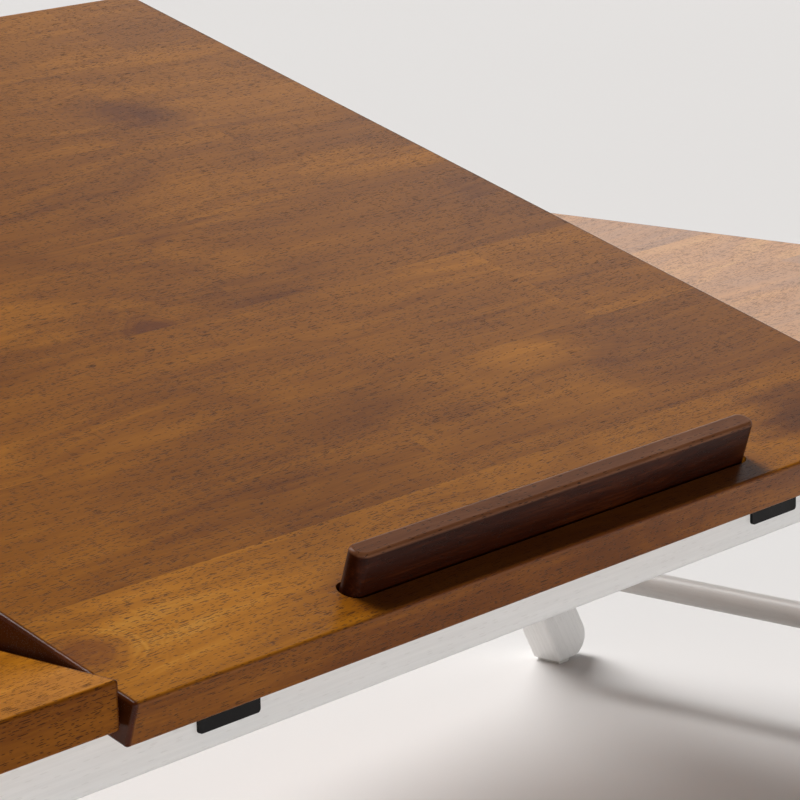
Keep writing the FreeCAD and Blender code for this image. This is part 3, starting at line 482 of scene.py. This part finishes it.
def soft_rubber(name):
    """Matt milky rubber with fine specks and a little dust."""
    material, tree, shader = start_material(name, IOR=1.5)
    length = in_millimetres(tree)
    speck = cloud(tree, stretched(tree, length, (2.5, 2.5, 2.5)), 2.0)
    dust = cloud(tree, stretched(tree, length, (0.2, 0.2, 0.2)), 3.0)
    colour = pick(tree, calc(tree, "MULTIPLY", dust, 0.5), tint(214, 212, 207),
                  tint(196, 192, 185))
    tree.links.new(colour, shader.inputs["Base Color"])
    tree.links.new(calc(tree, "ADD", calc(tree, "MULTIPLY", speck, 0.15), 0.68),
                   shader.inputs["Roughness"])
    rough_bump(tree, shader, speck, 0.4, 0.0001)
    return material


def dress(material, *names):
    """Put one material on every slot of the named nodes."""
    for name in names:
        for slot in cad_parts[name].material_slots:
            slot.material = material


def surface(name, grids, material):
    """One mesh of several grids of points, each wrapped round its second parameter."""
    points = []
    faces = []
    start = 0
    for grid in grids:
        rows, columns = grid.shape[:2]
        cell = start + np.arange((rows - 1) * columns).reshape(rows - 1, columns)
        beside = start + (np.arange(rows - 1)[:, None] * columns
                          + (np.arange(columns) + 1) % columns)
        quads = np.stack([cell, beside, beside + columns, cell + columns], -1)
        points.append(grid.reshape(-1, 3))
        faces.append(quads.reshape(-1, 4))
        start += rows * columns
    mesh = bpy.data.meshes.new(name)
    mesh.from_pydata(np.concatenate(points), [], np.concatenate(faces))
    mesh.polygons.foreach_set("use_smooth", np.full(len(mesh.polygons), True))
    mesh.materials.append(material)
    piece = bpy.data.objects.new(name, mesh)
    bpy.context.scene.collection.objects.link(piece)
    return piece


def eased(value, low, high):
    """Smooth step of an array from 0 at low to 1 at high."""
    share = np.clip((value - low) / (high - low), 0, 1)
    return share * share * (3 - 2 * share)


def screw_grid(at, axis, head, shank, length, style, depth, turn):
    """Points of a screw with its head's face at a point and its shank along an axis.

    A line runs out over the face, where the drive is pressed in, then down the head and the
    shank to a blunt tip. style is "flat" for a countersunk head, "pan" for a raised one.
    """
    angles = np.linspace(0, 2 * math.pi, 48, endpoint=False)
    reach = np.linspace(0.0, 1.0, 26) ** 0.85 * head * 0.97
    x = np.outer(reach, np.cos(angles + turn))
    y = np.outer(reach, np.sin(angles + turn))
    arm, width = head * 0.62, head * 0.17
    inside = np.minimum(np.maximum(np.abs(x) / arm, np.abs(y) / width),
                        np.maximum(np.abs(y) / arm, np.abs(x) / width))
    hollow = depth * (1 - eased(inside, 0.75, 1.15)) * (1 - 0.35 * np.hypot(x, y) / head)
    dome = 0.0 if style == "flat" else head * 0.32 * (1 - (np.hypot(x, y) / head) ** 2)
    face = -hollow + dome
    if style == "flat":
        rim = [(head, -0.02 * head), (head, -0.10 * head), (shank, -(head - shank))]
    else:
        rim = [(head, -0.10 * head), (head, -0.55 * head), (head * 0.94, -0.62 * head),
               (shank, -0.62 * head)]
    rim += [(shank, -length), (shank * 0.4, -length - shank * 0.6), (0.0, -length - shank * 0.6)]
    radii = np.array([point[0] for point in rim])
    heights = np.array([point[1] for point in rim])
    ring = np.ones_like(angles)
    flat = np.concatenate([np.stack([np.outer(reach, np.cos(angles)),
                                     np.outer(reach, np.sin(angles)), face], -1),
                           np.stack([np.outer(radii, np.cos(angles)),
                                     np.outer(radii, np.sin(angles)),
                                     np.outer(heights, ring)], -1)])
    axis = Vector(axis).normalized()
    basis = np.array((-axis).to_track_quat("Z", "Y").to_matrix())
    return flat @ basis.T + np.array(at)


def on_board(x, u, w):
    """Point of the tilted board: x along it, u back from its front edge, w over its underside."""
    return Vector((x, BOARD_CORNER.y + u * math.cos(TILT) - w * math.sin(TILT),
                   BOARD_CORNER.z + u * math.sin(TILT) + w * math.cos(TILT)))


def make_screws(black, zinc):
    """Screws with pressed cross drives in place of the plain ones."""
    into_board = (0, -math.sin(TILT), math.cos(TILT))
    sides = [(side, shift) for side in (-1, 1) for shift in (-1, 1)]
    turns = iter(np.random.default_rng(7).uniform(0, 1.5, 40))
    small = {"head": 0.0025, "shank": 0.0012, "style": "flat", "depth": 0.0009}
    rail = [screw_grid((side * HINGE_X + shift * LEAF_HOLE_X, -0.171157, 0.1878), (0, 1, 0),
                       length=0.0088, turn=next(turns), **small) for side, shift in sides]
    leaf = [screw_grid(on_board(side * HINGE_X + shift * LEAF_HOLE_X, 0.009, -0.001),
                       into_board, length=0.0086, turn=next(turns), **small)
            for side, shift in sides]
    prop = [screw_grid(on_board(side * BRACKET_X, 0.199 + shift * 0.009, -0.0015), into_board,
                       length=0.0086, turn=next(turns), **small) for side, shift in sides]
    fixing = [screw_grid((side * x, y, 0.1790), (0, 0, 1), 0.0035, 0.00175, 0.024, "pan",
                         0.0012, next(turns))
              for side in (-1, 1) for x in (0.2275, 0.304) for y in (-0.162157, 0.165843)]
    for name, grids, material, body in (
            ("rail_leaf_screws", rail, black, "frame"),
            ("panel_leaf_screws", leaf, black, "tilt_top"),
            ("prop_bracket_screws", prop, black, "tilt_top"),
            ("panel_fixing_screws", fixing, zinc, "frame")):
        piece = surface(name + "_driven", grids, material)
        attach(piece, body)
        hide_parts(name)


def finish_tray():
    """Give every node and piece its finish."""
    front_staves = [
        [(-200, 0.60)],
        [(-200, 0.49), (94, 0.455)],
        [(-200, 0.49), (126, 0.53)],
        [(-200, 0.46), (37, 0.47)],
        [(-200, 0.50), (60, 0.52)],
        [(-200, 0.54), (112, 0.58)],
        [(-200, 0.60), (40, 0.60)],
    ]
    front_patches = [
        (-150, 22, 130, 46, 0, 0.11), (62, 28, 70, 34, 0, 0.07), (165, 20, 120, 70, 0, -0.34),
        (84, 96, 60, 26, 1, 0.08), (-70, 72, 130, 50, 1, -0.10), (20, 90, 110, 50, 1, -0.10),
        (100, 296, 60, 40, None, -0.07), (-110, 184, 200, 46, 3, 0.20),
        (30, 168, 70, 30, 3, -0.10), (-150, 125, 90, 50, 2, 0.05)]
    front_knots = [(-182, 25, 10, 0, 1.0), (-22, 161, 9, 3, 0.8), (100, 296, 13, 5, 0.45)]
    # Paler places near the left board's front corner by the tilting board: painted sheen.
    left_sheen_patches = [(45, 26, 70, 50, None, 0.14), (84, 8, 40, 30, None, 0.10)]
    left_corner = (-SIDE_MIDDLE, SIDE_FRONT, UNDERSIDE)
    right_corner = (SIDE_MIDDLE, SIDE_FRONT, UNDERSIDE)
    # The tilting board carries the stop bar's shadow, painted onto the strip in front of the bar.
    dress(lacquered_board("tilting_board_wood", BOARD_CORNER, -TILT, 190.0, 46.0, 3.0,
                          front_knots, front_staves, front_patches, painted_stop_shadow=True),
          "tilt_panel")
    dress(lacquered_board("left_board_wood", left_corner, 0.0, 93.0, 52.0, 11.0,
                          patches=left_sheen_patches, pale=0.68, shine=0.08), "left_fixed_panel")
    dress(lacquered_board("right_board_wood", right_corner, 0.0, 93.0, 52.0, 23.0, pale=0.67,
                          shine=0.45), "right_fixed_panel")
    dress(stop_bar_wood(), "stop_bar")
    beech = (tint(150, 112, 72), tint(196, 158, 112), tint(214, 180, 136))
    dress(plain_wood("dowel_beech", beech, math.pi / 2, "Z", 0.3), "corner_dowels",
          "slat_dowels")
    dress(white_paint("white_paint_long"), "front_rail", "rear_rail")
    dress(white_paint("white_paint_deep", math.pi / 2, "Z"), "left_end_rail", "right_end_rail",
          "left_rack_slat", "right_rack_slat")
    # The stretchers' paint is mixed part way to a warm grey, so they show darker.
    dress(white_paint("white_paint_greyer", math.pi / 2, "Z", 0.38), "left_stretcher",
          "right_stretcher")
    dress(white_paint("white_paint_right_legs", -LEG_LEAN, "Y"), "right_front_leg",
          "right_rear_leg")
    dress(white_paint("white_paint_left_legs", LEG_LEAN, "Y"), "left_front_leg", "left_rear_leg")
    black = coated_steel("black_coat", tint(17, 15, 15), 0.46)
    zinc = coated_steel("zinc_plate", tint(186, 186, 184), 0.28, 1.0, 0.12)
    dress(black, "left_hinge_rail_leaf", "right_hinge_rail_leaf", "left_hinge_panel_leaf",
          "right_hinge_panel_leaf", "left_hinge_pin", "right_hinge_pin", "left_prop_bracket",
          "right_prop_bracket", "left_prop_arm", "right_prop_arm")
    dress(zinc, "leg_pivot_bolts", "leg_washers", "prop_pivot_rod", "prop_foot_rod")
    dress(soft_rubber("milky_rubber"), "foot_rod_sleeves", "rear_rest_pads", "left_foot_pads",
          "right_foot_pads")
    make_screws(black, zinc)


def make_floor():
    """Plain pale floor, clear from underneath so that the tray shows from below too."""
    material, tree, shader = start_material("pale_floor", Roughness=0.75, IOR=1.3)
    below = add(tree, "NewGeometry").outputs["Backfacing"]
    clear = add(tree, "BsdfTransparent").outputs[0]
    seen = add(tree, "MixShader", {0: below, 1: shader.outputs[0], 2: clear}).outputs[0]
    output = next(node for node in tree.nodes if node.type == "OUTPUT_MATERIAL")
    tree.links.new(seen, output.inputs["Surface"])
    haze = cloud(tree, add(tree, "TexCoord").outputs["Object"], 2.0)
    low = [0.97 * part for part in FLOOR_TONE]
    tree.links.new(pick(tree, haze, (*low, 1), (*FLOOR_TONE, 1)), shader.inputs["Base Color"])
    corners = [(-14, -14, 0), (14, -14, 0), (14, 14, 0), (-14, 14, 0)]
    mesh = bpy.data.meshes.new("floor")
    mesh.from_pydata(corners, [], [(0, 1, 2, 3)])
    mesh.materials.append(material)
    floor = bpy.data.objects.new("floor", mesh)
    bpy.context.scene.collection.objects.link(floor)


def make_world():
    """Dim room with a low pale band round it and a tall pale wall behind the tray's right."""
    world = bpy.data.worlds.new("studio")
    bpy.context.scene.world = world
    world.use_nodes = True
    tree = world.node_tree
    light = next(node for node in tree.nodes if node.type == "BACKGROUND")
    way = add(tree, "TexCoord").outputs["Generated"]
    height = add(tree, "SeparateXYZ", {0: way}).outputs[2]
    band = pick(tree, between(tree, height, 0.16, 0.36), (0.45, 0.445, 0.445, 1),
                (0.045, 0.045, 0.047, 1))
    start = add(tree, "VectorMath", {0: way, 1: (-0.36, 0.93, 0)}, operation="DOT_PRODUCT")
    end = add(tree, "VectorMath", {0: way, 1: (0.89, -0.45, 0)}, operation="DOT_PRODUCT")
    wall = calc(tree, "MULTIPLY", between(tree, start.outputs["Value"], -0.05, 0.08),
                between(tree, end.outputs["Value"], 0.22, 0.40))
    wall = calc(tree, "MULTIPLY", wall, between(tree, height, 0.47, 0.56, 1.0, 0.0))
    tree.links.new(pick(tree, wall, band, (1.2, 1.17, 1.15, 1)), light.inputs["Color"])


def add_light(name, at, aim, size, power, spread):
    """Rectangular lamp that shines from at towards aim, no wider than its spread in radians."""
    lamp = bpy.data.lights.new(name, "AREA")
    lamp.shape = "RECTANGLE"
    lamp.size, lamp.size_y = size
    lamp.energy = power
    lamp.spread = spread
    holder = bpy.data.objects.new(name, lamp)
    bpy.context.scene.collection.objects.link(holder)
    way = Vector(aim) - Vector(at)
    turn = way.to_track_quat("-Z", "Y")
    holder.matrix_world = Matrix.Translation(at) @ turn.to_matrix().to_4x4()


def add_sun(name, at, strength, angle):
    """Far soft light from the side that at points to, angle across in radians."""
    lamp = bpy.data.lights.new(name, "SUN")
    lamp.energy = strength
    lamp.angle = angle
    lamp.color = (1.0, 0.99, 0.98)
    holder = bpy.data.objects.new(name, lamp)
    bpy.context.scene.collection.objects.link(holder)
    turn = (-Vector(at)).to_track_quat("-Z", "Y")
    holder.matrix_world = Matrix.Translation(at) @ turn.to_matrix().to_4x4()


def make_camera():
    """Camera of the photograph: a long lens from the front left, a little above the tray."""
    yaw, pitch, roll = math.radians(40.85), math.radians(13.46), math.radians(1.59)
    level = Vector((math.cos(yaw), math.sin(yaw), 0))
    forward = level * math.cos(pitch) - Vector((0, 0, math.sin(pitch)))
    side = Vector((math.sin(yaw), -math.cos(yaw), 0))
    down = -(level * math.sin(pitch) + Vector((0, 0, math.cos(pitch))))
    right = side * math.cos(roll) + down * math.sin(roll)
    below = down * math.cos(roll) - side * math.sin(roll)
    lens = bpy.data.cameras.new("camera")
    lens.lens = 165.24
    lens.sensor_width = 36.0
    lens.clip_end = 50
    camera = bpy.data.objects.new("camera", lens)
    bpy.context.scene.collection.objects.link(camera)
    turn = Matrix((right, -below, -forward)).transposed().to_4x4()
    camera.matrix_world = Matrix.Translation((-0.82185, -0.83419, 0.50002)) @ turn
    bpy.context.scene.camera = camera


finish_tray()
make_floor()
make_world()
add_sun("key", (-0.10, 1.05, 1.75), 2.65, 0.5)
add_sun("low_back", (-0.05, 1.0, 0.60), 1.0, 0.6)
add_light("front_fill", (0.05, -1.25, 0.05), (0.16, -0.2, 0.14), (1.6, 0.08), 0.56, 0.6)
make_camera()
bpy.context.scene.view_settings.view_transform = "Standard"
